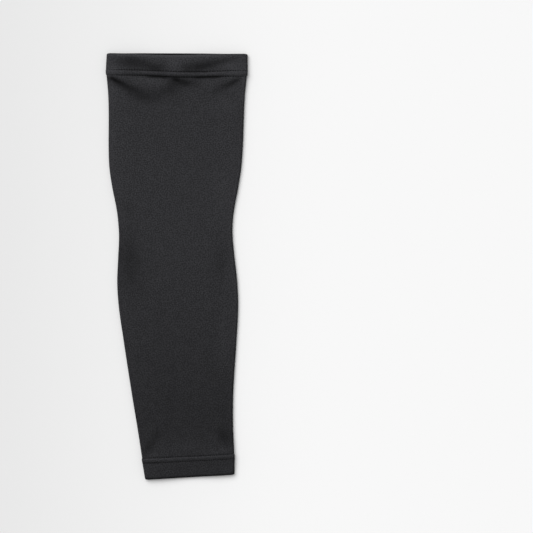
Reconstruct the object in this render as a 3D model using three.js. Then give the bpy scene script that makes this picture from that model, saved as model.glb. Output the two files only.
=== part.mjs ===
// Arm sleeve: a knitted tube for the upper arm, elbow and forearm, lying flat and open at both ends.
// X runs across the sleeve, +Y points to the upper-arm mouth, +Z is up, and the cloth lies on z = 0.
// The origin is on that surface, under the middle of the sleeve.

import * as THREE from "three";
import { LoftGeometry } from "three/addons/geometries/LoftGeometry.js";
import { mergeVertices } from "three/addons/utils/BufferGeometryUtils.js";

const { clamp, degToRad, lerp, smoothstep } = THREE.MathUtils;

// Driving dimensions, in millimetres
const SLEEVE_LENGTH = 424.4; // from the upper mouth to the wrist, along the middle
const MOUTH_Y = 213.15; // where the upper mouth's edge lies
const CLOTH = 1.0; // one layer of the knit
const SEWN_GAP = 0.3; // clearance between two sewn pieces
const FOLD_DEPTH = 3.4; // how far in from each side the cloth rounds over
const FOLD_SQUARENESS = 2.3; // 2 rounds the side folds as ellipses, more makes them squarer
const CROWN_REACH = 24; // how far in from a side fold the upper layer reaches its full height
const CROWN_FULLNESS = 2.5; // 1 makes that rise a straight slope, more makes it rounder

const HEM_PROUD = 0.4; // how far a folded hem stands out past the tube's cloth
const HEM_DEPTH = 1.6; // a hem's inner face near its mouth, in from the tube's outer face
const WELT_PROUD = 1.3; // crest of the padded welt between a hem's two needle lines
const SIDE_PROUD = 0.6; // the most that a hem or its welt stands out past the side folds
const NEEDLE_SPREAD = 0.9; // from the bottom of a needle line to where the hem's face is half risen
const TURN_UNDER = 2.2; // how far a hem's inner layer reaches under the tube's edge
const UPPER_NEEDLES = { near: 17.1, far: 22.9 }; // the two needle lines, in from the upper mouth
const WRIST_NEEDLES = { near: 16.3, far: 21.2 }; // and in from the wrist's edge

const MOUTH_SAG = 1.4; // how far the upper layer dips below the lower one at the upper mouth
const SAG_REACH = 45; // how far down the sleeve that dip dies away
const CORNER_DROP = 0.9; // rounding of the four outer corners
const CORNER_REACH = 7; // how far from the mouths it dies away
const CORNER_SHARPNESS = 40; // power of the rounding across the width

// Facets: steps across the top, round one side fold, across the underside, along the tube, round a rim
const TOP_STEPS = 32;
const FOLD_STEPS = 6;
const UNDER_STEPS = 4;
const BODY_STEPS = 38;
const RIM_STEPS = 5;
const DRAG_STEPS = 30; // along a drag fold's line
const TOP_CROWDING = 0.35; // 0 spaces the steps across the top evenly, 1 crowds them at its sides
const BODY_CROWDING = 0.75; // and along the tube, at its ends

// Outline of the laid sleeve, a row for each cross-section: its distance down from the upper mouth, the
// two side folds, how much higher up the sleeve its right end lies, and the height of the cloth along its
// side folds and in its middle.
const OUTLINE = [
  { down: 0, left: -69.6, right: 70.3, slant: -0.7, edge: 4.6, height: 8.1 },
  { down: 17, left: -70.5, right: 70.4, slant: -1.0, edge: 5.1, height: 9.2 },
  { down: 24, left: -70.1, right: 69.8, slant: -0.9, edge: 5.2, height: 9.6 },
  { down: 40, left: -68.7, right: 68.2, slant: -0.4, edge: 4.7, height: 9.1 },
  { down: 60, left: -68.1, right: 67.2, slant: 0, edge: 4.4, height: 8.5 },
  { down: 95, left: -68.2, right: 65.9, slant: 0, edge: 4.2, height: 7.8 },
  { down: 115, left: -67.4, right: 64.3, slant: 0, edge: 4.2, height: 7.6 },
  { down: 135, left: -64.4, right: 61.3, slant: 0, edge: 4.2, height: 7.6 },
  { down: 155, left: -60.4, right: 57.5, slant: 0, edge: 4.2, height: 7.6 },
  { down: 170, left: -58.5, right: 55.8, slant: 0, edge: 4.2, height: 7.6 },
  { down: 185, left: -57.8, right: 55.9, slant: 0, edge: 4.2, height: 7.6 },
  { down: 205, left: -58.7, right: 57.8, slant: 0.3, edge: 4.2, height: 7.6 },
  { down: 230, left: -59.6, right: 60.5, slant: 0.8, edge: 4.2, height: 7.6 },
  { down: 255, left: -57.8, right: 61.3, slant: 1.4, edge: 4.2, height: 7.6 },
  { down: 285, left: -53.4, right: 59.9, slant: 2.2, edge: 4.2, height: 7.6 },
  { down: 315, left: -48.8, right: 57.9, slant: 3.0, edge: 4.2, height: 7.6 },
  { down: 345, left: -44.0, right: 56.3, slant: 3.7, edge: 4.3, height: 7.9 },
  { down: 375, left: -39.0, right: 56.2, slant: 3.9, edge: 4.6, height: 8.6 },
  { down: 402, left: -34.9, right: 57.5, slant: 4.3, edge: 5.2, height: 9.3 },
  { down: SLEEVE_LENGTH, left: -31.4, right: 57.5, slant: 5.1, edge: 4.6, height: 8.1 },
];

// Swellings and hollows of the upper layer, a row for each: its middle, its rise (a hollow is negative),
// its half length and half width, and the turn of its length from across the sleeve, in degrees.
const SWELLS = [
  { name: "left lip of the mouth", x: -42, down: 0, rise: 1.8, length: 19, width: 6.5, turn: -6 },
  { name: "right lip of the mouth", x: 36, down: 0, rise: 1.8, length: 20, width: 6.5, turn: 6 },
  { name: "left pad under the hem", x: -27, down: 30, rise: 1.6, length: 18, width: 6.0, turn: -4 },
  { name: "right pad under the hem", x: 30, down: 29, rise: 1.1, length: 20, width: 6.5, turn: 5 },
  { name: "dimple under the hem", x: -1, down: 27.5, rise: -0.8, length: 8, width: 4.0, turn: -8 },
  { name: "left elbow hollow", x: -47, down: 208, rise: -1.0, length: 30, width: 12, turn: 95 },
  { name: "right elbow hollow", x: 45, down: 211, rise: -0.7, length: 20, width: 8, turn: 85 },
  { name: "left wrist hollow", x: -26, down: 389, rise: -1.1, length: 13, width: 5.5, turn: 62 },
  { name: "right wrist hollow", x: 48, down: 380, rise: -1.1, length: 11, width: 6.0, turn: 115 },
];

// Drag folds that hang from the upper hem, a row for each valley: where it starts, bends and ends, as x
// and distance down, its rise, its half width and how many times wider it ends, and the shares of its
// length over which it comes up and dies away.
const DRAG_FOLDS = [
  {
    name: "left drag fold",
    line: [[-69, 23.5], [-50, 33], [-16, 48.5]],
    rise: -2.2, width: 3.4, widening: 2.2, fadeIn: 0.06, fadeOut: 0.6,
  },
  {
    name: "left drag fold's way back to the hem",
    line: [[2, 26], [-7, 43], [-34, 48.5]],
    rise: -1.1, width: 5.5, widening: 1.4, fadeIn: 0.2, fadeOut: 0.7,
  },
  {
    name: "right drag fold",
    line: [[68, 23.5], [51, 33], [16, 50]],
    rise: -2.2, width: 3.4, widening: 2.2, fadeIn: 0.06, fadeOut: 0.9,
  },
];

const OUTLINE_COLUMNS = ["left", "right", "slant", "edge", "height"];
const outline = new THREE.CubicInterpolant(
  OUTLINE.map((row) => row.down),
  OUTLINE.flatMap((row) => OUTLINE_COLUMNS.map((column) => row[column])),
  OUTLINE_COLUMNS.length,
);

const dragPaths = DRAG_FOLDS.map(({ line }) => {
  const [start, bend, end] = line.map(([x, down]) => new THREE.Vector2(x, down));
  return new THREE.QuadraticBezierCurve(start, bend, end).getPoints(DRAG_STEPS);
});

// Bell curve: 1 in its middle, and almost nothing at 2
const bell = (distance) => Math.exp(-distance * distance);

// Even shares from 0 to 1, crowded towards both ends by an amount from 0 to 1
const crowd = (share, amount) => share - (amount * Math.sin(2 * Math.PI * share)) / (2 * Math.PI);

// How much of a swelling or hollow reaches one place, from 0 to 1
function swellShare(swell, x, down) {
  const turn = degToRad(swell.turn);
  const across = x - swell.x;
  const up = swell.down - down;
  const along = (across * Math.cos(turn) + up * Math.sin(turn)) / swell.length;
  const aside = (up * Math.cos(turn) - across * Math.sin(turn)) / swell.width;
  return bell(along) * bell(aside);
}

// How much of a drag fold reaches one place, by the nearest point of its path
function dragShare(fold, path, x, down) {
  const distances = path.map((point) => Math.hypot(x - point.x, down - point.y));
  const distance = Math.min(...distances);
  const along = distances.indexOf(distance) / DRAG_STEPS;
  const fade = smoothstep(along, 0, fold.fadeIn) * smoothstep(1 - along, 0, fold.fadeOut);
  return fade * bell(distance / (fold.width * lerp(1, fold.widening, along)));
}

// Height that swellings, hollows and drag folds give to the upper layer at one place
function relief(x, down) {
  let rise = 0;
  for (const swell of SWELLS) {
    rise += swell.rise * swellShare(swell, x, down);
  }
  DRAG_FOLDS.forEach((fold, index) => {
    rise += fold.rise * dragShare(fold, dragPaths[index], x, down);
  });
  return rise;
}

// How far a point moves along the sleeve where the mouths sag and round their corners.
// `aside` runs from -1 to 1 across the sleeve, and `front` from 0 on the lower layer to 1 on the upper.
function mouthShift(aside, down, front) {
  const sag = MOUTH_SAG * (1 - aside * aside) * front * bell(down / SAG_REACH);
  const corner = CORNER_DROP * Math.abs(aside) ** CORNER_SHARPNESS;
  const upperCorner = corner * bell(down / CORNER_REACH);
  const wristCorner = corner * bell((SLEEVE_LENGTH - down) / CORNER_REACH);
  return wristCorner - upperCorner - sag;
}

// One closed ring of points round the flattened tube, `inset` in from the cloth's outer face.
// The underside stays on the surface that it lies on, so a ring that stands proud doesn't reach below it.
function ring(down, inset) {
  const [left, right, slant, edge, height] = outline.evaluate(down);
  const leftShoulder = left + FOLD_DEPTH;
  const rightShoulder = right - FOLD_DEPTH;
  const foldReach = FOLD_DEPTH - Math.max(inset, -SIDE_PROUD);
  const under = Math.max(inset, 0);
  const points = [];

  function place(x, z, front) {
    const aside = (2 * x - left - right) / (right - left);
    const shift = mouthShift(clamp(aside, -1, 1), down, front);
    points.push(new THREE.Vector3(x, MOUTH_Y - down + (slant / 2) * aside + shift, z));
  }

  // The upper layer is low along its side folds and crowned between them
  function topHeight(x) {
    const inwards = Math.min(x - leftShoulder, rightShoulder - x);
    const crown = 1 - clamp(1 - inwards / CROWN_REACH, 0, 1) ** CROWN_FULLNESS;
    return edge + (height - edge + relief(x, down)) * crown - inset;
  }

  // A rounded side fold, without its two ends, from the upper layer to the lower one or back
  function placeFold(shoulder, side, downwards) {
    const top = topHeight(shoulder);
    for (let step = 1; step < FOLD_STEPS; step += 1) {
      const share = downwards ? step / FOLD_STEPS : 1 - step / FOLD_STEPS;
      const angle = Math.PI * (0.5 - share);
      const out = Math.cos(angle) ** (2 / FOLD_SQUARENESS);
      const rise = Math.sign(Math.sin(angle)) * Math.abs(Math.sin(angle)) ** (2 / FOLD_SQUARENESS);
      place(shoulder + side * foldReach * out, lerp(under, top, (1 + rise) / 2), (1 + rise) / 2);
    }
  }

  for (let step = 0; step <= TOP_STEPS; step += 1) {
    const x = lerp(leftShoulder, rightShoulder, crowd(step / TOP_STEPS, TOP_CROWDING));
    place(x, topHeight(x), 1);
  }
  placeFold(rightShoulder, 1, true);
  for (let step = 0; step <= UNDER_STEPS; step += 1) {
    place(lerp(rightShoulder, leftShoulder, step / UNDER_STEPS), under, 0);
  }
  placeFold(leftShoulder, -1, false);
  return points;
}

// A hollow wall: the rings go up its outer face, round the rim, back down its inner face and close up
function wallGeometry(rings) {
  const loft = new LoftGeometry([...rings, rings[0]]);
  const skin = new THREE.BufferGeometry();
  skin.setIndex(loft.index);
  skin.setAttribute("position", loft.getAttribute("position"));
  const wall = mergeVertices(skin);
  wall.computeVertexNormals();
  return wall;
}

// Section through a hem, as steps in from its mouth and in from the tube's outer face: along the outside
// from the far needle line over the welt, round the folded rim, and back along the turned-in layer, which
// ends as a tongue of one layer under the tube's edge.
function hemSection({ near, far }) {
  const rimRadius = (HEM_DEPTH + HEM_PROUD) / 2;
  const rimMiddle = (HEM_DEPTH - HEM_PROUD) / 2;
  const seat = CLOTH + SEWN_GAP;
  const section = [
    { along: far, inset: 0 },
    { along: far - NEEDLE_SPREAD, inset: -WELT_PROUD / 2 },
    { along: (near + far) / 2, inset: -WELT_PROUD },
    { along: near + NEEDLE_SPREAD, inset: -WELT_PROUD / 2 },
    { along: near, inset: 0 },
    { along: near - NEEDLE_SPREAD, inset: -HEM_PROUD / 2 },
    { along: near - 3 * NEEDLE_SPREAD, inset: -HEM_PROUD },
    { along: near / 2, inset: -HEM_PROUD },
  ];
  for (let step = 0; step <= RIM_STEPS; step += 1) {
    const angle = (Math.PI * step) / RIM_STEPS;
    section.push({
      along: rimRadius - rimRadius * Math.sin(angle),
      inset: rimMiddle - rimRadius * Math.cos(angle),
    });
  }
  section.push(
    { along: near / 2, inset: HEM_DEPTH },
    { along: near, inset: HEM_DEPTH },
    { along: far, inset: seat + CLOTH },
    { along: far + TURN_UNDER, inset: seat + CLOTH },
    { along: far + TURN_UNDER, inset: seat },
    { along: far, inset: seat },
  );
  return section;
}

const knit = new THREE.MeshStandardMaterial({ color: 0x2c2c2e, roughness: 0.95, metalness: 0 });
const foldedKnit = new THREE.MeshStandardMaterial({ color: 0x29292b, roughness: 0.95, metalness: 0 });

// The tube: one layer of knit between the far needle lines of the two hems
function sleeveBody() {
  const start = UPPER_NEEDLES.far + SEWN_GAP;
  const end = SLEEVE_LENGTH - WRIST_NEEDLES.far - SEWN_GAP;
  const stations = [];
  for (let step = 0; step <= BODY_STEPS; step += 1) {
    stations.push(lerp(start, end, crowd(step / BODY_STEPS, BODY_CROWDING)));
  }
  const inside = stations.map((down) => ring(down, CLOTH));
  const outside = stations.reverse().map((down) => ring(down, 0));
  return new THREE.Mesh(wallGeometry([...outside, ...inside]), knit);
}

// The wide band at the upper-arm mouth, turned in double and sewn with two needles
function upperHem() {
  const rings = hemSection(UPPER_NEEDLES).map(({ along, inset }) => ring(along, inset));
  return new THREE.Mesh(wallGeometry(rings), foldedKnit);
}

// The narrower hem at the wrist, made the same way from the other end
function wristHem() {
  const rings = hemSection(WRIST_NEEDLES).map(({ along, inset }) => ring(SLEEVE_LENGTH - along, inset));
  return new THREE.Mesh(wallGeometry(rings.reverse()), foldedKnit);
}

const pieces = { sleeve_body: sleeveBody(), upper_hem: upperHem(), wrist_hem: wristHem() };

const armSleeve = new THREE.Group();
for (const [name, mesh] of Object.entries(pieces)) {
  mesh.name = name;
  armSleeve.add(mesh);
}

export default armSleeve;
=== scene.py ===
import math

import bpy
import numpy as np
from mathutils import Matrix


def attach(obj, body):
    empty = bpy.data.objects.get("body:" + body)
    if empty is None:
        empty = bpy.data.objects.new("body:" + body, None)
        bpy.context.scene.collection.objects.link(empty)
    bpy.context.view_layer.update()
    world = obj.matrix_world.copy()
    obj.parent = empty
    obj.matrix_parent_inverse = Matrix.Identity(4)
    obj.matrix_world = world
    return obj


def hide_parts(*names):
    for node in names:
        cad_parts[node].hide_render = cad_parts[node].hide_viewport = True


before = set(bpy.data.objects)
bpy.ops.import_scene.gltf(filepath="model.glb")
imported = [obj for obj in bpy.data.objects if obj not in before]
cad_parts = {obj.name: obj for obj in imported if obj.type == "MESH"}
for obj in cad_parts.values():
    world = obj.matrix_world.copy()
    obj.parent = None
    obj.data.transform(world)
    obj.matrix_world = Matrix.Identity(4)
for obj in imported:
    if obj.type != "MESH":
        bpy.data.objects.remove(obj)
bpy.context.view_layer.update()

# The tube of the sleeve: one layer of charcoal stretch knit with a fine brushed nap, cut wide for the
# upper arm and tapered to the wrist. It lies flat as two layers with a soft fold down each side, and the
# pull of the upper hem has drawn drag folds into the cloth just under it. Sizes are in millimetres.
MM = 0.001
SLEEVE_LENGTH = 424.05  # from the upper mouth to the wrist, along the middle
MOUTH_Y = 213.15  # where the upper mouth lies in the frame
CLOTH = 1.0  # one layer of the knit
SEWN_GAP = 0.03  # clearance between two sewn pieces
FOLD_DEPTH = 3.4  # how far in from each side the cloth rounds over
FOLD_SQUARENESS = 2.3  # 2 rounds the side folds as ellipses, more makes them squarer
CROWN_REACH = 24  # how far in from a side fold the upper layer still rises
CROWN_FULLNESS = 2.5  # power of that rise
SIDE_PROUD = 0.6  # the most that a hem or its welt stands out past the side folds
SIDE_PAINTED_SHADE = -0.7  # painted shade on the right fold, which faces away from the light
SIDE_SHARPNESS = 4  # power by which that tone gathers at the fold's edge
HEM_SAG = 1.9  # how far the upper layer slides down in the middle of its hem
SAG_X = 12  # middle of that slide
SAG_WIDTH = 40  # its half width
SAG_MIDDLE = 20  # its distance down the sleeve
SAG_REACH = 20  # how far up and down the sleeve it dies away
MOUTH_PULL = 0.4  # how far the upper layer's rim is drawn back from the lower one's
DIP_REACH = 7  # how far down the sleeve that pull and the dips of the rim die away
CORNER_DROP = 0.4  # rounding of the four outer corners
CORNER_REACH = 7  # how far from the mouths it dies away
CORNER_SHARPNESS = 40  # power of the rounding across the width

# Distances of each hem's two needle lines from its rim, the near one first
UPPER_NEEDLES = (17.1, 22.5)
WRIST_NEEDLES = (16.4, 21.1)


def columns(*names):
    """Names the columns of a table of sizes."""
    return [(name, float) for name in names]


# Cross-sections from the upper mouth down: the two side folds, how much higher up the right end lies, and
# the height of the cloth at its edges and in its middle. The solids' rows are within 0.2 mm of these.
OUTLINE = np.array([
    (0, -69.6, 70.3, -0.7, 4.6, 8.1),
    (17, -70.5, 70.4, -0.8, 5.1, 9.2),
    (24, -70.1, 69.8, -0.9, 5.2, 9.6),
    (40, -68.7, 68.2, -0.4, 4.7, 9.1),
    (60, -68.1, 67.2, 0, 4.4, 8.5),
    (95, -68.2, 65.9, 0, 4.2, 7.8),
    (115, -67.4, 64.3, 0, 4.2, 7.6),
    (135, -64.4, 61.3, 0, 4.2, 7.6),
    (155, -60.4, 57.5, 0, 4.2, 7.6),
    (170, -58.5, 55.8, 0, 4.2, 7.6),
    (185, -57.8, 55.9, 0, 4.2, 7.6),
    (205, -58.7, 57.8, 0.3, 4.2, 7.6),
    (230, -59.6, 60.5, 0.8, 4.2, 7.6),
    (255, -57.8, 61.3, 1.4, 4.2, 7.6),
    (285, -53.4, 59.9, 2.2, 4.2, 7.6),
    (315, -48.8, 57.9, 3.0, 4.2, 7.6),
    (345, -44.0, 56.3, 3.7, 4.3, 7.9),
    (375, -39.0, 56.2, 3.9, 4.6, 8.6),
    (402, -34.8, 57.35, 4.3, 5.2, 9.3),
    (SLEEVE_LENGTH, -31.3, 57.3, 5.1, 4.6, 8.1),
], dtype=columns("down", "left", "right", "slant", "edge", "height"))

# Dips in the rim of the upper mouth: middle, half width, and how far the upper and the lower layer drop
MOUTH_DIPS = np.array([
    (-54, 14, 0.25, 0.25),
    (48, 18, 0.25, 0.25),
    (-20, 40, 1.0, 0.12),
], dtype=columns("x", "width", "upper", "lower"))

# Swellings and hollows of the upper layer, with painted shade in the hollows and on slopes turned from the
# light and painted highlight on the swellings: middle, rise, change of tone, half length, half width, and
# the turn of the length from across, in degrees
SWELLS = np.array([
    # Between the drag folds under the upper hem: painted highlight on the pads, painted shade in the
    # dimples
    (-26, 29.5, 1.6, 0.10, 18, 5.5, -4),
    (31, 28.5, 1.1, 0.04, 20, 6.0, 5),
    (-0.5, 25.0, -1.2, -0.45, 5.2, 2.2, -5),
    (7, 29.0, -0.5, -0.42, 12, 4.4, -8),
    (12, 27.0, 0.0, -0.18, 11, 3.2, 0),
    (-2, 37.0, -0.4, -0.16, 12, 9.0, 80),
    (-28, 46.0, -0.4, -0.16, 14, 5.0, -10),
    (-16, 32.5, 0.0, 0.09, 15, 3.5, 0),
    (33, 32.0, 0.0, 0.10, 8, 4.0, 0),
    (50, 52.0, 0.0, 0.10, 13, 9.0, 0),
    (65, 27.5, 0.0, 0.18, 6, 4.0, 0),
    (-66, 40.0, 0.0, 0.10, 9, 6.0, 80),
    (66, 41.0, 0.0, 0.22, 10, 6.0, 100),
    # The upper hem: its lips, the waves across its face with painted shade where they turn from the light,
    # and its ends lighter as painted highlight
    (-42, 0.0, 1.8, 0.00, 19, 6.5, -6),
    (36, 0.0, 1.8, 0.00, 20, 6.5, 6),
    (-44, 8.8, -0.3, -0.42, 16, 7.0, -8),
    (-22, 14.4, 0.0, -0.40, 10, 4.2, -12),
    (-13, 11.0, 0.0, -0.10, 5, 4.0, 0),
    (-2, 9.5, 0.3, 0.14, 8, 6.0, 0),
    (9, 12.6, 0.0, -0.18, 6, 4.2, 0),
    (23, 12.3, -0.2, -0.44, 14, 5.2, 10),
    (46, 7.3, -0.2, -0.34, 18, 3.2, 14),
    (56, 13.0, 0.2, 0.18, 8, 4.0, 0),
    (-66, 9.0, 0.0, 0.10, 9, 5.0, 90),
    (67, 9.0, 0.0, 0.14, 9, 5.0, 90),
    (-63, 18.5, 0.0, 0.26, 8, 5.5, 0),
    (61, 18.5, 0.0, 0.26, 10, 5.5, 0),
    # The sides, lighter as painted highlight, and the hollows of the elbow, with painted shade in them
    (60, 200, 0.0, 0.15, 190, 13.0, 90),
    (-66.5, 90, 0.0, 0.14, 80, 3.0, 91),
    (-47, 155, -0.4, -0.10, 9, 5.0, 80),
    (-47, 208, -1.0, -0.26, 30, 12.0, 95),
    (47, 145, 0.0, 0.10, 28, 11.0, 88),
    (45, 211, -0.7, -0.14, 20, 8.0, 85),
    (48, 292, 0.2, 0.10, 22, 7.0, 88),
    # Hollows above the wrist hem, with painted shade in them, and the hem itself, with painted highlight
    # on its raised parts
    (-29, 394, -1.0, -0.22, 8, 5.0, 62),
    (-20.5, 383.5, -0.5, -0.14, 8, 4.5, 62),
    (48.5, 385.5, -1.1, -0.22, 9, 5.5, 125),
    (14, 395, 0.3, 0.04, 36, 6.0, 4),
    (-24, 400.5, 0.2, 0.10, 10, 3.0, 6),
    (45, 399.5, 0.2, 0.15, 10, 3.5, 6),
    (14, 417, 0.0, 0.07, 34, 3.5, 5),
    # The lip of the upper layer droops over each mouth
    (0, 0.0, -3.6, 0.00, 95, 9.0, 0),
    (13, 423.5, -4.4, 0.00, 60, 10.0, 5),
], dtype=columns("x", "down", "rise", "tone", "length", "width", "turn"))

# Drag folds and lines: start, bend and end of each valley, the side of it that is steep (1 is on the
# right from start to end), its rise and change of tone (painted shade in a valley, painted highlight along
# a lit line), the reach of its steep and gentle sides, how many times wider it ends, and how far it fades
# in and out
CREASES = np.array([
    # Drag folds that hang from the upper hem's corners and its middle, with painted shade in their valleys
    ((-68, 23.8), (-50, 34.0), (-19, 48.0), -1, -1.5, -0.42, 2.0, 3.2, 2.7, 0.08, 0.40),
    ((-67, 24.0), (-58, 28.5), (-42, 37.8), -1, -0.6, -0.34, 1.9, 2.4, 1.5, 0.06, 0.80),
    ((1, 28.0), (-9, 40.0), (-33, 46.0), 1, -1.0, -0.20, 5.0, 5.5, 1.3, 0.25, 0.35),
    ((63, 24.4), (48, 34.5), (20, 46.5), 1, -1.4, -0.34, 1.7, 2.8, 2.8, 0.06, 0.80),
    ((65, 24.0), (58, 28.5), (45, 36.0), 1, -0.5, -0.28, 1.6, 2.2, 1.7, 0.06, 0.70),
    # Shade under the edge of the upper hem
    ((-56, 22.6), (0, 22.8), (56, 22.6), -1, -0.4, -0.30, 0.8, 0.9, 1.0, 0.15, 0.15),
    ((-34, 22.8), (-20, 23.1), (-4, 23.0), -1, -0.4, -0.66, 1.0, 1.5, 1.0, 0.35, 0.30),
    ((13, 22.8), (31, 23.0), (51, 22.8), -1, -0.4, -0.66, 1.0, 1.4, 1.0, 0.30, 0.40),
    # Painted highlight along the upper hem's rim and the top of its welt, painted shade along its near
    # needle line and the foot of its welt
    ((-68, 1.2), (0, 1.2), (62, 1.2), 1, 0.0, 0.60, 1.3, 1.1, 1.0, 0.10, 0.25),
    ((-58, 17.1), (-40, 17.1), (-8, 17.1), 1, 0.0, -0.12, 0.8, 0.8, 1.0, 0.40, 0.20),
    ((2, 17.1), (24, 17.1), (48, 17.1), 1, 0.0, -0.20, 0.8, 0.8, 1.0, 0.20, 0.50),
    ((-50, 18.9), (5, 18.9), (58, 18.9), 1, 0.0, 0.16, 1.0, 1.0, 1.0, 0.20, 0.20),
    ((-50, 21.1), (5, 21.1), (58, 21.1), 1, 0.0, -0.08, 1.0, 1.0, 1.0, 0.20, 0.20),
    # The same along the wrist hem's welt and near needle line
    ((-34, 403.2), (12, 403.2), (58, 403.2), 1, 0.0, 0.12, 0.8, 0.8, 1.0, 0.05, 0.05),
    ((-34, 404.5), (12, 404.5), (58, 404.5), 1, 0.0, 0.16, 0.9, 0.9, 1.0, 0.05, 0.05),
    ((-34, 407.7), (-24, 407.7), (-12, 407.7), 1, 0.0, -0.25, 0.8, 0.8, 1.0, 0.10, 0.50),
], dtype=[("start", float, 2), ("bend", float, 2), ("end", float, 2)] + columns(
    "side", "rise", "tone", "steep", "gentle", "widening", "fade_in", "fade_out"))
CREASE_STEPS = 40

# Overall change of tone from the upper arm to the wrist, darker towards the wrist
TONES = np.array([
    (0, 0.0),
    (24, 0.01),
    (60, 0.01),
    (160, 0.0),
    (210, -0.03),
    (260, -0.10),
    (310, -0.17),
    (350, -0.23),
    (380, -0.23),
    (400, -0.17),
    (SLEEVE_LENGTH, -0.15),
], dtype=columns("down", "tone"))

# A faint waver all over, as in any cloth that is laid by hand: wave lengths, height, and a fixed seed
WAVER_LENGTHS = (16.0, 70.0)
WAVER_COUNT = 14
WAVER_RISE = 0.05
WAVER_SEED = 7

# Steps of the tube's mesh along its outside and its inside, and round its upper layer, a fold and its
# lower layer
BODY_STEPS = 260
BODY_INNER_STEPS = 90
TOP_STEPS = 150
FOLD_STEPS = 16
UNDER_STEPS = 50


def table_curve(table, column, at):
    """A smooth cubic through one column of a table, at any distance down."""
    knots = table["down"]
    values = table[column]
    slopes = np.empty_like(values)
    slopes[1:-1] = (values[2:] - values[:-2]) / (knots[2:] - knots[:-2])
    slopes[0] = (values[1] - values[0]) / (knots[1] - knots[0])
    slopes[-1] = (values[-1] - values[-2]) / (knots[-1] - knots[-2])
    row = np.clip(np.searchsorted(knots, at, side="right") - 1, 0, len(knots) - 2)
    step = knots[row + 1] - knots[row]
    t = np.clip((at - knots[row]) / step, 0, 1)
    start = (1 + 2 * t) * (1 - t) ** 2 * values[row] + t * (1 - t) ** 2 * step * slopes[row]
    end = t ** 2 * (3 - 2 * t) * values[row + 1] + t ** 2 * (t - 1) * step * slopes[row + 1]
    return start + end


def bell(distance, reach):
    """A smooth bump that is 1 in its middle and dies away past its reach."""
    return np.exp(-((distance / reach) ** 2))


def smooth_step(share):
    """A smooth rise from 0 to 1."""
    share = np.clip(share, 0, 1)
    return share * share * (3 - 2 * share)


def swell(row, x, down):
    """How much of one swelling or hollow reaches a place, from 0 to 1."""
    turn = math.radians(row["turn"])
    across = x - row["x"]
    up = row["down"] - down
    along = (across * math.cos(turn) + up * math.sin(turn)) / row["length"]
    aside = (up * math.cos(turn) - across * math.sin(turn)) / row["width"]
    return np.exp(-along ** 2 - aside ** 2)


def crease(row, x, down):
    """How much of one drag fold reaches a place: a bent valley, steep on one side, that opens out along
    its length and fades in and out."""
    t = np.linspace(0, 1, CREASE_STEPS + 1)[:, None]
    path = (1 - t) ** 2 * row["start"] + 2 * t * (1 - t) * row["bend"] + t ** 2 * row["end"]
    nearest = np.full(x.shape, np.inf)
    signed = np.zeros(x.shape)
    place = np.zeros(x.shape)
    for step in range(CREASE_STEPS):
        run = path[step + 1] - path[step]
        length = math.hypot(*run)
        away_x = x - path[step][0]
        away_down = down - path[step][1]
        share = np.clip((away_x * run[0] + away_down * run[1]) / length ** 2, 0, 1)
        distance = np.hypot(away_x - share * run[0], away_down - share * run[1])
        closer = distance < nearest
        nearest = np.where(closer, distance, nearest)
        signed = np.where(closer, (run[0] * away_down - run[1] * away_x) * row["side"], signed)
        place = np.where(closer, (step + share) / CREASE_STEPS, place)
    reach = np.where(signed > 0, row["steep"], row["gentle"]) * (1 + (row["widening"] - 1) * place)
    fade = smooth_step(place / row["fade_in"]) * smooth_step((1 - place) / row["fade_out"])
    return fade * bell(nearest, reach)


def waver(x, down):
    """The faint waver of laid cloth, as a sum of long waves in random directions."""
    draw = np.random.default_rng(WAVER_SEED)
    total = np.zeros(x.shape)
    for _ in range(WAVER_COUNT):
        length = draw.uniform(*WAVER_LENGTHS)
        heading = draw.uniform(0, 2 * math.pi)
        phase = draw.uniform(0, 2 * math.pi)
        turns = (x * math.cos(heading) + down * math.sin(heading)) / length
        total += WAVER_RISE * np.sin(2 * math.pi * turns + phase)
    return total


def folds(x, down):
    """Rise and change of tone that swellings, drag folds and waver give to the upper layer; the tone is
    painted shade and highlight.
    """
    rise = waver(x, down)
    tone = np.zeros(x.shape)
    for table, share in ((SWELLS, swell), (CREASES, crease)):
        for row in table:
            reach = share(row, x, down)
            rise = rise + row["rise"] * reach
            tone = tone + row["tone"] * reach
    return rise, tone


def mouth_shift(x, aside, down, lift):
    """Shift along the sleeve where the upper layer sags at its hem, the rim dips at the upper mouth and
    the four corners are rounded."""
    sag = HEM_SAG * bell(x - SAG_X, SAG_WIDTH) * bell(down - SAG_MIDDLE, SAG_REACH)
    dip = MOUTH_PULL * lift
    for row in MOUTH_DIPS:
        drop = row["lower"] + (row["upper"] - row["lower"]) * lift
        dip = dip + drop * bell(x - row["x"], row["width"])
    corner = CORNER_DROP * np.abs(aside) ** CORNER_SHARPNESS
    corners = corner * (bell(SLEEVE_LENGTH - down, CORNER_REACH) - bell(down, CORNER_REACH))
    return corners - sag * lift - dip * bell(down, DIP_REACH)


def ring_layout(top_steps, fold_steps, under_steps):
    """One turn round the flattened tube: share of the way across, reach into a side fold, and lift."""
    angle = math.pi * (0.5 - np.arange(1, fold_steps) / fold_steps)
    out = np.cos(angle) ** (2 / FOLD_SQUARENESS)
    rise = np.sign(np.sin(angle)) * np.abs(np.sin(angle)) ** (2 / FOLD_SQUARENESS)
    lift = (1 + rise) / 2
    top = np.linspace(0, 1, top_steps + 1)
    under = np.linspace(1, 0, under_steps + 1)
    share = np.concatenate([top, np.ones_like(out), under, np.zeros_like(out)])
    reach = np.concatenate([np.zeros_like(top), out, np.zeros_like(under), -out[::-1]])
    lifts = np.concatenate([np.ones_like(top), lift, np.zeros_like(under), lift[::-1]])
    return share, reach, lifts


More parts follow.
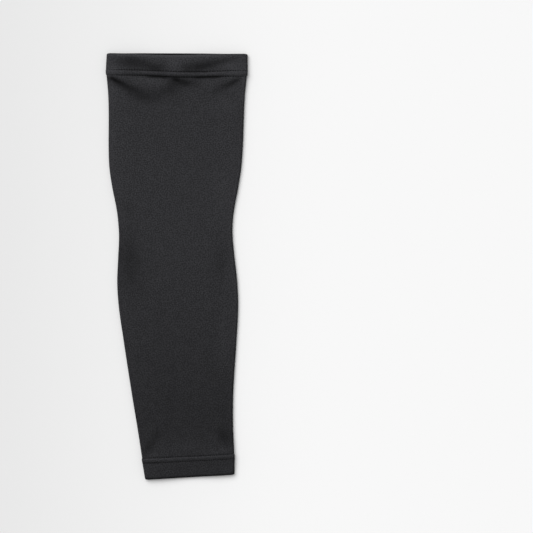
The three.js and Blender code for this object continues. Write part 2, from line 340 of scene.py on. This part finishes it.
def sleeve_rings(layout, down, inset, under):
    """Rings round the flattened tube, one for each distance down, depth into the cloth and height of the
    lower layer: their points in metres, and the tone at each point, with the painted shade and highlight
    of the folds."""
    share, reach, lift = layout
    down = down[:, None]
    inset = inset[:, None]
    under = under[:, None]
    left = table_curve(OUTLINE, "left", down)
    right = table_curve(OUTLINE, "right", down)
    slant = table_curve(OUTLINE, "slant", down)
    edge = table_curve(OUTLINE, "edge", down)
    height = table_curve(OUTLINE, "height", down)
    flat_width = right - left - 2 * FOLD_DEPTH
    flat_x = left + FOLD_DEPTH + flat_width * share
    inwards = flat_width * np.minimum(share, 1 - share)
    crown = 1 - np.clip(1 - inwards / CROWN_REACH, 0, 1) ** CROWN_FULLNESS
    x = flat_x + reach * (FOLD_DEPTH - np.maximum(inset, -SIDE_PROUD))
    down = np.broadcast_to(down, x.shape)
    rise, tone = folds(flat_x, down)
    top = edge + (height - edge + rise) * crown - inset
    z = under + (top - under) * lift
    aside = np.clip((2 * x - left - right) / (right - left), -1, 1)
    y = MOUTH_Y - down + slant / 2 * aside + mouth_shift(x, aside, down, lift)
    # Painted shade on the right fold, which faces away from the light
    shade = SIDE_PAINTED_SHADE * np.clip(reach, 0, 1) ** SIDE_SHARPNESS
    # The tone: painted shade and highlight of the folds on the upper layer, painted shade on the right
    # fold, and the tone down the sleeve
    tone_and_painted_light = tone * lift + shade + table_curve(TONES, "tone", down)
    return np.stack([x, y, z], axis=-1) * MM, tone_and_painted_light


def add_object(name, data):
    """An object for a mesh, a light or a camera, linked to the scene."""
    made = bpy.data.objects.new(name, data)
    bpy.context.scene.collection.objects.link(made)
    return made


def wall_piece(name, points, tone_and_painted_light, top_steps, material):
    """A closed wall from rings of points that go up its outside, round the rim and back down its inside.
    Its UV map is in metres of cloth, out from the middle of the upper layer and along the wall, and its
    tone, with its painted shade and highlight, is an attribute."""
    rows, turns = points.shape[:2]
    index = np.arange(rows * turns).reshape(rows, turns)
    ahead = np.roll(index, -1, axis=0)
    corners = np.stack([index, np.roll(index, -1, axis=1), np.roll(ahead, -1, axis=1), ahead], axis=-1)
    mesh = bpy.data.meshes.new(name)
    mesh.from_pydata(points.reshape(-1, 3), [], corners.reshape(-1, 4))
    around = np.linalg.norm(np.roll(points, -1, axis=1) - points, axis=-1)
    along = np.linalg.norm(np.roll(points, -1, axis=0) - points, axis=-1).mean(axis=1)
    u = np.concatenate([np.zeros((rows, 1)), np.cumsum(around, axis=1)], axis=1)
    u = u - u[:, [top_steps // 2]]
    v = np.concatenate([[0], np.cumsum(along)])
    row, turn = np.meshgrid(np.arange(rows), np.arange(turns), indexing="ij")
    next_row = (row + 1) % rows
    uv = np.stack([
        np.stack([u[row, turn], v[row]], axis=-1),
        np.stack([u[row, turn + 1], v[row]], axis=-1),
        np.stack([u[next_row, turn + 1], v[row + 1]], axis=-1),
        np.stack([u[next_row, turn], v[row + 1]], axis=-1),
    ], axis=2)
    mesh.uv_layers.new(name="cloth").data.foreach_set("uv", uv.astype(np.float32).ravel())
    tones = mesh.attributes.new("tone_and_painted_light", "FLOAT", "POINT")
    tones.data.foreach_set("value", tone_and_painted_light.astype(np.float32).ravel())
    mesh.polygons.foreach_set("use_smooth", np.ones(len(mesh.polygons), dtype=bool))
    mesh.materials.append(material)
    mesh.validate()
    return add_object(name, mesh)


def linear(code):
    """An sRGB hex colour as linear red, green, blue and alpha."""
    levels = [int(code[start:start + 2], 16) / 255 for start in (1, 3, 5)]
    return [v / 12.92 if v <= 0.04045 else ((v + 0.055) / 1.055) ** 2.4 for v in levels] + [1]


def bare_material(name):
    """A material with no nodes yet."""
    material = bpy.data.materials.new(name)
    material.use_nodes = True
    material.node_tree.nodes.clear()
    return material


def add_node(tree, kind, settings, inputs):
    """Adds one node: its settings, then each input as a value or as a link from another node's output."""
    node = tree.nodes.new(kind)
    for name, value in settings.items():
        setattr(node, name, value)
    for socket, value in inputs.items():
        if isinstance(value, bpy.types.NodeSocket):
            tree.links.new(value, node.inputs[socket])
        else:
            node.inputs[socket].default_value = value
    return node


# Polyester and elastane jersey, dyed black and matt: it shows a dark charcoal with a fine mottled grain,
# because each loop takes the light a little differently. Real wales are about 0.8 mm apart, too fine to
# show, so the loops are drawn at 1.1 mm by 1.0 mm.
WALE = 1.1
COURSE = 1.0
LEG_SLANT = 33  # slant of the loops' legs, in degrees
LOOP_DEPTH = 0.25
LOOP_BUMP = 0.5
LOOP_NEIGHBOURS = ((1, 0, 0), (-1, 0, 0), (0, 1, 0), (0, -1, 0))
LOOP_SHARPNESS = 0.16  # share of each neighbour's tone that sets a loop off from it
LOOP_CONTRAST = 0.88
LOOP_RELIEF = 0.35  # share of a loop's tone that follows its rounded height: painted shade in the hollows between loops
MOTTLE = 6.0
MOTTLE_DETAIL = 2
MOTTLE_CONTRAST = 0.15
# Middle of the cloth's tone, and how far the attribute's tone, with its painted shade and highlight, moves
# it
TONE_MIDDLE = 0.498
TONE_CONTRAST = 0.74
KNIT_DARK = "#080809"
KNIT_LIGHT = "#404043"
KNIT_ROUGHNESS = 0.9
KNIT_GLOSS = 0.1
KNIT_SHEEN = 0.04
KNIT_SHEEN_ROUGHNESS = 0.5

# Sockets of a Mix node that mixes colours, which share their names with others
COLOUR_A = 6
COLOUR_B = 7
COLOUR_RESULT = 2


def knit_loops(tree):
    """The loops on the cloth's own UV map: a random tone for each, set off from its four neighbours, and
    its rounded height."""
    cloth = add_node(tree, "ShaderNodeUVMap", {"uv_map": "cloth"}, {})
    slanted = add_node(tree, "ShaderNodeVectorRotate", {"rotation_type": "Z_AXIS"}, {
        "Vector": cloth.outputs["UV"], "Angle": math.radians(LEG_SLANT)})
    loops = add_node(tree, "ShaderNodeVectorMath", {"operation": "DIVIDE"}, {
        0: slanted.outputs["Vector"], 1: (WALE * MM, COURSE * MM, 1)})
    loop = add_node(tree, "ShaderNodeVectorMath", {"operation": "FLOOR"}, {0: loops.outputs["Vector"]})
    own_tone = add_node(tree, "ShaderNodeTexWhiteNoise", {"noise_dimensions": "2D"}, {
        "Vector": loop.outputs["Vector"]})
    tone = own_tone.outputs["Value"]
    for step in LOOP_NEIGHBOURS:
        neighbour = add_node(tree, "ShaderNodeVectorMath", {"operation": "ADD"}, {
            0: loop.outputs["Vector"], 1: step})
        neighbour_tone = add_node(tree, "ShaderNodeTexWhiteNoise", {"noise_dimensions": "2D"}, {
            "Vector": neighbour.outputs["Vector"]})
        set_off = add_node(tree, "ShaderNodeMath", {"operation": "MULTIPLY_ADD"}, {
            0: neighbour_tone.outputs["Value"], 1: -LOOP_SHARPNESS, 2: tone})
        tone = set_off.outputs["Value"]
    within = add_node(tree, "ShaderNodeVectorMath", {"operation": "FRACTION"}, {
        0: loops.outputs["Vector"]})
    spot = add_node(tree, "ShaderNodeSeparateXYZ", {}, {"Vector": within.outputs["Vector"]})
    across = add_node(tree, "ShaderNodeMath", {"operation": "MULTIPLY"}, {
        0: spot.outputs["X"], 1: 2 * math.pi})
    legs = add_node(tree, "ShaderNodeMath", {"operation": "SINE"}, {0: across.outputs["Value"]})
    leg_height = add_node(tree, "ShaderNodeMath", {"operation": "ABSOLUTE"}, {0: legs.outputs["Value"]})
    along = add_node(tree, "ShaderNodeMath", {"operation": "MULTIPLY"}, {
        0: spot.outputs["Y"], 1: math.pi})
    course_height = add_node(tree, "ShaderNodeMath", {"operation": "SINE"}, {0: along.outputs["Value"]})
    height = add_node(tree, "ShaderNodeMath", {"operation": "MULTIPLY"}, {
        0: leg_height.outputs["Value"], 1: course_height.outputs["Value"]})
    return tone, height.outputs["Value"]


def knit_material(name):
    """The jersey: its tone is that of the attribute, with its painted shade and highlight, mottled, with
    each loop a little lighter or darker.
    """
    material = bare_material(name)
    tree = material.node_tree
    loop_tone, loop_height = knit_loops(tree)
    tone_and_painted_light = add_node(tree, "ShaderNodeAttribute", {"attribute_name": "tone_and_painted_light"}, {})
    painted_light_tone = add_node(tree, "ShaderNodeMath", {"operation": "MULTIPLY_ADD"}, {
        0: tone_and_painted_light.outputs["Fac"], 1: TONE_CONTRAST, 2: TONE_MIDDLE - MOTTLE_CONTRAST / 2})
    place = add_node(tree, "ShaderNodeTexCoord", {}, {})
    mottle = add_node(tree, "ShaderNodeTexNoise", {}, {
        "Vector": place.outputs["Object"], "Scale": 1 / (MOTTLE * MM), "Detail": MOTTLE_DETAIL})
    mottled = add_node(tree, "ShaderNodeMath", {"operation": "MULTIPLY_ADD"}, {
        0: mottle.outputs["Fac"], 1: MOTTLE_CONTRAST, 2: painted_light_tone.outputs["Value"]})
    mean_tone = (1 - len(LOOP_NEIGHBOURS) * LOOP_SHARPNESS) / 2
    grain = add_node(tree, "ShaderNodeMath", {"operation": "MULTIPLY_ADD"}, {
        0: loop_tone, 1: LOOP_CONTRAST, 2: 1 - LOOP_CONTRAST * mean_tone})
    tone = add_node(tree, "ShaderNodeMath", {"operation": "MULTIPLY"}, {
        0: mottled.outputs["Value"], 1: grain.outputs["Value"]})
    # Painted shade in the hollows between the loops
    mean_height = (2 / math.pi) ** 2
    rounded = add_node(tree, "ShaderNodeMath", {"operation": "MULTIPLY_ADD"}, {
        0: loop_height, 1: LOOP_RELIEF / mean_height, 2: 1 - LOOP_RELIEF})
    shade = add_node(tree, "ShaderNodeMath", {"operation": "MULTIPLY"}, {
        0: tone.outputs["Value"], 1: rounded.outputs["Value"]})
    colour = add_node(tree, "ShaderNodeMix", {"data_type": "RGBA", "clamp_factor": True}, {
        "Factor": shade.outputs["Value"], COLOUR_A: linear(KNIT_DARK), COLOUR_B: linear(KNIT_LIGHT)})
    bump = add_node(tree, "ShaderNodeBump", {}, {
        "Height": loop_height, "Strength": LOOP_BUMP, "Distance": LOOP_DEPTH * MM})
    shader = add_node(tree, "ShaderNodeBsdfPrincipled", {}, {
        "Base Color": colour.outputs[COLOUR_RESULT], "Roughness": KNIT_ROUGHNESS,
        "Specular IOR Level": KNIT_GLOSS, "Sheen Weight": KNIT_SHEEN,
        "Sheen Roughness": KNIT_SHEEN_ROUGHNESS, "Normal": bump.outputs["Normal"]})
    add_node(tree, "ShaderNodeOutputMaterial", {}, {"Surface": shader.outputs["BSDF"]})
    return material


body_start = UPPER_NEEDLES[1] + SEWN_GAP
body_end = SLEEVE_LENGTH - WRIST_NEEDLES[1] - SEWN_GAP
outside = np.linspace(body_end, body_start, BODY_STEPS + 1)
inside = np.linspace(body_start, body_end, BODY_INNER_STEPS + 1)
body_down = np.concatenate([outside, inside])
body_inset = np.concatenate([np.zeros_like(outside), np.full_like(inside, CLOTH)])
body_layout = ring_layout(TOP_STEPS, FOLD_STEPS, UNDER_STEPS)
body_points, body_tone_and_painted_light = sleeve_rings(body_layout, body_down, body_inset, body_inset)
body_material = knit_material("black_stretch_jersey")
sleeve_body = wall_piece("sleeve_tube", body_points, body_tone_and_painted_light, TOP_STEPS, body_material)
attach(sleeve_body, "root")
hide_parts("sleeve_body")

# The two hems: the same knit turned in double and sewn flat with two needles. Between the needle lines the
# layers swell into a padded welt, and the folded edge is round. The upper one is wider than the wrist's.
HEM_PROUD = 0.4  # how far a folded hem stands out past the tube's cloth
HEM_DEPTH = 1.6  # how far its turned-in layer lies inside the tube's outer face
SEAT_DEPTH = 2.1  # the same where that layer is sewn to the tube's inner face
TURN_UNDER = 2.2  # how far past the far needle line it is turned under
WELT_PROUD = 1.3  # crest of the padded welt between the needle lines
WELT_WIDTH = 2.2  # its half width
NEEDLE_WIDTH = 0.7  # half width of a needle line's groove
NEEDLE_DENT = 0.45  # depth of the groove on the underside
UPPER_GROOVES = (0.4, 0.1)  # how far the bottoms of the two grooves still stand proud of the tube
WRIST_GROOVES = (0.3, 0.1)
UPPER_RIM_HIGHLIGHT = (0.2, 4.5)  # painted highlight along the upper rim, which catches the light, and how far in from the rim it reaches
# Painted shade along the wrist rim, which faces away from the light, and how far in it reaches
WRIST_RIM_SHADE = (-0.5, 1.9)
BACK_PAINTED_SHADE = -0.6  # painted shade on the inner face of the lower layer, inside the mouth

# Steps of a hem's mesh along its face, its rim and its turned-in layer, and round its upper layer, a fold
# and its lower layer
HEM_FACE_STEPS = 60
HEM_RIM_STEPS = 10
HEM_INNER_STEPS = 8
HEM_TOP_STEPS = 260
HEM_FOLD_STEPS = 18
HEM_UNDER_STEPS = 160
hem_layout = ring_layout(HEM_TOP_STEPS, HEM_FOLD_STEPS, HEM_UNDER_STEPS)
hem_material = knit_material("folded_stretch_jersey")


def hem_section(needles, grooves):
    """A hem's cross-section, from the far needle line over the welt, round the rim and back along the
    turned-in layer: distance from the rim, depth into the cloth, and height of the lower layer."""
    near, far = needles
    rim_radius = (HEM_DEPTH + HEM_PROUD) / 2
    rim_middle = (HEM_DEPTH - HEM_PROUD) / 2
    face = np.linspace(far, rim_radius, HEM_FACE_STEPS)
    proud = HEM_PROUD + (WELT_PROUD - HEM_PROUD) * bell(face - (near + far) / 2, WELT_WIDTH)
    face_inset = -proud
    dent = np.zeros_like(face)
    for away, groove in zip(needles, grooves):
        share = bell(face - away, NEEDLE_WIDTH)
        face_inset += (proud - groove) * share
        dent += NEEDLE_DENT * share
    angle = np.linspace(0, math.pi, HEM_RIM_STEPS + 1)[1:]
    rim = rim_radius - rim_radius * np.sin(angle)
    rim_inset = rim_middle - rim_radius * np.cos(angle)
    lining = np.linspace(rim_radius, far + TURN_UNDER, HEM_INNER_STEPS + 1)[1:]
    lining_inset = np.where(lining < near, HEM_DEPTH, SEAT_DEPTH)
    seat = np.array([far + TURN_UNDER, far])
    seat_inset = np.full_like(seat, CLOTH + SEWN_GAP)
    along = np.concatenate([face, rim, lining, seat])
    inset = np.concatenate([face_inset, rim_inset, lining_inset, seat_inset])
    under = np.maximum(inset, 0)
    under[:len(face)] = dent
    return along, inset, under


def hem_piece(name, needles, grooves, rim_painted_light, from_mouth):
    """One hem, at the upper mouth or at the wrist, where its rings run the other way so that its faces
    point outwards too."""
    along, inset, under = hem_section(needles, grooves)
    down = along if from_mouth else SLEEVE_LENGTH - along
    order = slice(None) if from_mouth else slice(None, None, -1)
    points, tone_and_painted_light = sleeve_rings(hem_layout, down[order], inset[order], under[order])
    rim_tone, rim_reach = rim_painted_light
    # Painted highlight along the upper hem's rim, painted shade along the wrist hem's rim
    painted_light_tone = rim_tone * bell(along, rim_reach)
    # Painted shade on the inner face of the lower layer, inside the mouth
    lined = np.clip(2 * inset / (HEM_DEPTH - HEM_PROUD), 0, 1)
    _, _, lift = hem_layout
    tone_and_painted_light = tone_and_painted_light + painted_light_tone[order][:, None] * lift + BACK_PAINTED_SHADE * lined[order][:, None] * (1 - lift)
    piece = wall_piece(name, points, tone_and_painted_light, HEM_TOP_STEPS, hem_material)
    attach(piece, "root")
    return piece


upper_hem = hem_piece("upper_hem_band", UPPER_NEEDLES, UPPER_GROOVES, UPPER_RIM_HIGHLIGHT, True)
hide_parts("upper_hem")
wrist_hem = hem_piece("wrist_hem_band", WRIST_NEEDLES, WRIST_GROOVES, WRIST_RIM_SHADE, False)
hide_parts("wrist_hem")

# The needle lines: four rows of lockstitch in black polyester thread, two round each hem, sunk into the
# grooves on either side of the welt. Real thread is about 0.4 mm thick, too fine to show, so each stitch
# is drawn as a short, round length of thread up to three times as thick.
STITCH_SIDES = 8
STITCH_RINGS = 6
UNIT_RADIUS = 0.5  # of a stitch before it is stretched to size
SINK_REACH = 0.07  # share of the width, in from a side fold, over which stitches sink deeper

# Sizes of the stitches on each needle line, the near one first: pitch, length, thickness, and how much
# deeper they sink at the side folds
UPPER_STITCHES = np.array([
    (2.6, 1.7, 1.15, 0.4),
    (2.6, 1.7, 1.05, 0.4),
], dtype=columns("pitch", "length", "thread", "sink"))
WRIST_STITCHES = np.array([
    (2.2, 1.4, 0.95, 0.2),
    (2.2, 1.2, 0.65, 0.2),
], dtype=UPPER_STITCHES.dtype)

# Spun polyester sewing thread, twisted: near black and almost matt, with a faint mottle from its twist
THREAD_DARK = "#030303"
THREAD_LIGHT = "#0a0a0b"
THREAD_TWIST = 0.5
THREAD_TWIST_DETAIL = 1
THREAD_TWIST_DEPTH = 0.1
THREAD_BUMP = 0.4
THREAD_ROUGHNESS = 0.8
THREAD_GLOSS = 0.1


def thread_material(name):
    """The thread: dark, and a little lighter on the strands of its twist."""
    material = bare_material(name)
    tree = material.node_tree
    place = add_node(tree, "ShaderNodeTexCoord", {}, {})
    twist = add_node(tree, "ShaderNodeTexNoise", {}, {
        "Vector": place.outputs["Object"], "Scale": 1 / (THREAD_TWIST * MM),
        "Detail": THREAD_TWIST_DETAIL})
    colour = add_node(tree, "ShaderNodeMix", {"data_type": "RGBA"}, {
        "Factor": twist.outputs["Fac"], COLOUR_A: linear(THREAD_DARK), COLOUR_B: linear(THREAD_LIGHT)})
    bump = add_node(tree, "ShaderNodeBump", {}, {
        "Height": twist.outputs["Fac"], "Strength": THREAD_BUMP, "Distance": THREAD_TWIST_DEPTH * MM})
    shader = add_node(tree, "ShaderNodeBsdfPrincipled", {}, {
        "Base Color": colour.outputs[COLOUR_RESULT], "Roughness": THREAD_ROUGHNESS,
        "Specular IOR Level": THREAD_GLOSS, "Normal": bump.outputs["Normal"]})
    add_node(tree, "ShaderNodeOutputMaterial", {}, {"Surface": shader.outputs["BSDF"]})
    return material


def stitch_tree(name, material):
    """Geometry Nodes that set stitches along a line of edges."""
    tree = bpy.data.node_groups.new(name, "GeometryNodeTree")
    sockets = tree.interface
    sockets.new_socket("Line", in_out="INPUT", socket_type="NodeSocketGeometry")
    for size in ("Pitch", "Stitch Length", "Thread"):
        sockets.new_socket(size, in_out="INPUT", socket_type="NodeSocketFloat")
    sockets.new_socket("Stitches", in_out="OUTPUT", socket_type="NodeSocketGeometry")
    sizes = add_node(tree, "NodeGroupInput", {}, {})
    line = add_node(tree, "GeometryNodeMeshToCurve", {}, {"Mesh": sizes.outputs["Line"]})
    spaced = add_node(tree, "GeometryNodeResampleCurve", {"mode": "LENGTH"}, {
        "Curve": line.outputs["Curve"], "Length": sizes.outputs["Pitch"]})
    bead = add_node(tree, "GeometryNodeMeshUVSphere", {}, {
        "Segments": STITCH_SIDES, "Rings": STITCH_RINGS, "Radius": UNIT_RADIUS})
    stretch = add_node(tree, "ShaderNodeCombineXYZ", {}, {
        "X": sizes.outputs["Thread"], "Y": sizes.outputs["Thread"],
        "Z": sizes.outputs["Stitch Length"]})
    stitch = add_node(tree, "GeometryNodeTransform", {}, {
        "Geometry": bead.outputs["Mesh"], "Scale": stretch.outputs["Vector"]})
    tangent = add_node(tree, "GeometryNodeInputTangent", {}, {})
    heading = add_node(tree, "FunctionNodeAlignRotationToVector", {"axis": "Z"}, {
        "Vector": tangent.outputs["Tangent"]})
    laid = add_node(tree, "GeometryNodeInstanceOnPoints", {}, {
        "Points": spaced.outputs["Curve"], "Instance": stitch.outputs["Geometry"],
        "Rotation": heading.outputs["Rotation"]})
    real = add_node(tree, "GeometryNodeRealizeInstances", {}, {"Geometry": laid.outputs["Instances"]})
    smooth = add_node(tree, "GeometryNodeSetShadeSmooth", {}, {"Geometry": real.outputs["Geometry"]})
    finished = add_node(tree, "GeometryNodeSetMaterial", {}, {
        "Geometry": smooth.outputs["Geometry"], "Material": material})
    add_node(tree, "NodeGroupOutput", {}, {"Stitches": finished.outputs["Geometry"]})
    return tree


def needle_line(down, groove, stitch):
    """A closed loop of points along the bottom of a needle line's groove, deeper at the side folds."""
    sunk = np.array([-groove])
    under = np.array([stitch["thread"] / 2])
    points, _ = sleeve_rings(hem_layout, np.array([down]), sunk, under)
    share, reach, lift = hem_layout
    deeper = stitch["sink"] * MM * bell(np.minimum(share, 1 - share), SINK_REACH)
    points[..., 0] -= deeper * reach
    points[..., 2] -= deeper * (2 * lift - 1)
    return points[0]


def stitch_row(name, points, stitch, tree):
    """One row of stitches, half sunk in its groove, sewn along a closed loop of points."""
    index = np.arange(len(points))
    edges = np.stack([index, np.roll(index, -1)], axis=-1)
    line_mesh = bpy.data.meshes.new(name + "_line")
    line_mesh.from_pydata(points, edges, [])
    line = add_object(name + "_line", line_mesh)
    sewing = line.modifiers.new("stitches", "NODES")
    sewing.node_group = tree
    sizes = {"Pitch": stitch["pitch"], "Stitch Length": stitch["length"], "Thread": stitch["thread"]}
    for socket in tree.interface.items_tree:
        if socket.name in sizes:
            sewing[socket.identifier] = float(sizes[socket.name]) * MM
    sewn = line.evaluated_get(bpy.context.evaluated_depsgraph_get())
    mesh = bpy.data.meshes.new_from_object(sewn)
    bpy.data.objects.remove(line)
    piece = add_object(name, mesh)
    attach(piece, "root")
    return piece


stitches = stitch_tree("needle_stitches", thread_material("spun_polyester_thread"))
for row, place in enumerate(("near", "far")):
    upper = needle_line(UPPER_NEEDLES[row], UPPER_GROOVES[row], UPPER_STITCHES[row])
    stitch_row("upper_hem_" + place + "_stitches", upper, UPPER_STITCHES[row], stitches)
    wrist_down = SLEEVE_LENGTH - WRIST_NEEDLES[row]
    wrist = needle_line(wrist_down, WRIST_GROOVES[row], WRIST_STITCHES[row])
    stitch_row("wrist_hem_" + place + "_stitches", wrist, WRIST_STITCHES[row], stitches)

# The floor, the light and the camera: a plain pale table in matt paint, with painted shade towards its
# left, one soft light from the upper left and an even fill, seen from straight above through a long lens.
FLOOR_SIZE = 8000
FLOOR_LEFT = "#e0e0e0"
FLOOR_RIGHT = "#f4f4f4"
FLOOR_FADE = (-330, 170)  # where the table's tone turns from the left one to the right one
FLOOR_ROUGHNESS = 0.8
FLOOR_GLOSS = 0.2
FILL_COLOUR = "#ffffff"
FILL_STRENGTH = 0.445
KEY_STRENGTH = 2.33
KEY_SPREAD = 56  # these three angles are in degrees
KEY_ELEVATION = 53
KEY_FROM_LEFT = 40
VIEW_WIDTH = 533.0  # width of the picture at the sleeve
VIEW_CENTRE = (89.7, -0.2, 2.0)
VIEW_END = 10000  # the camera sees no further than this
LENS = 200
SENSOR = 36


def table_material(name):
    """Matt paint, with painted shade that makes it a little darker towards the left."""
    material = bare_material(name)
    tree = material.node_tree
    place = add_node(tree, "ShaderNodeTexCoord", {}, {})
    across = add_node(tree, "ShaderNodeSeparateXYZ", {}, {"Vector": place.outputs["Object"]})
    fade = add_node(tree, "ShaderNodeMapRange", {"interpolation_type": "SMOOTHSTEP"}, {
        "Value": across.outputs["X"], "From Min": FLOOR_FADE[0] * MM, "From Max": FLOOR_FADE[1] * MM})
    colour = add_node(tree, "ShaderNodeMix", {"data_type": "RGBA"}, {
        "Factor": fade.outputs["Result"], COLOUR_A: linear(FLOOR_LEFT), COLOUR_B: linear(FLOOR_RIGHT)})
    shader = add_node(tree, "ShaderNodeBsdfPrincipled", {}, {
        "Base Color": colour.outputs[COLOUR_RESULT], "Roughness": FLOOR_ROUGHNESS,
        "Specular IOR Level": FLOOR_GLOSS})
    add_node(tree, "ShaderNodeOutputMaterial", {}, {"Surface": shader.outputs["BSDF"]})
    return material


half = FLOOR_SIZE / 2 * MM
floor_corners = [(-half, -half, 0), (half, -half, 0), (half, half, 0), (-half, half, 0)]
floor_mesh = bpy.data.meshes.new("floor")
floor_mesh.from_pydata(floor_corners, [], [(0, 1, 2, 3)])
floor_mesh.materials.append(table_material("pale_table"))
floor = add_object("floor", floor_mesh)

world = bpy.data.worlds.new("fill")
world.use_nodes = True
fill = world.node_tree.nodes["Background"]
fill.inputs["Color"].default_value = linear(FILL_COLOUR)
fill.inputs["Strength"].default_value = FILL_STRENGTH
bpy.context.scene.world = world

key_light = bpy.data.lights.new("key", "SUN")
key_light.energy = KEY_STRENGTH
key_light.angle = math.radians(KEY_SPREAD)
key = add_object("key", key_light)
key.rotation_euler = (math.radians(90 - KEY_ELEVATION), 0, math.radians(180 + KEY_FROM_LEFT))

camera_data = bpy.data.cameras.new("camera")
camera_data.lens = LENS
camera_data.sensor_width = SENSOR
camera_data.clip_end = VIEW_END * MM
view_x, view_y, view_z = VIEW_CENTRE
view_height = view_z + VIEW_WIDTH * LENS / SENSOR
camera = add_object("camera", camera_data)
camera.location = (view_x * MM, view_y * MM, view_height * MM)
bpy.context.scene.camera = camera
bpy.context.scene.view_settings.view_transform = "Standard"
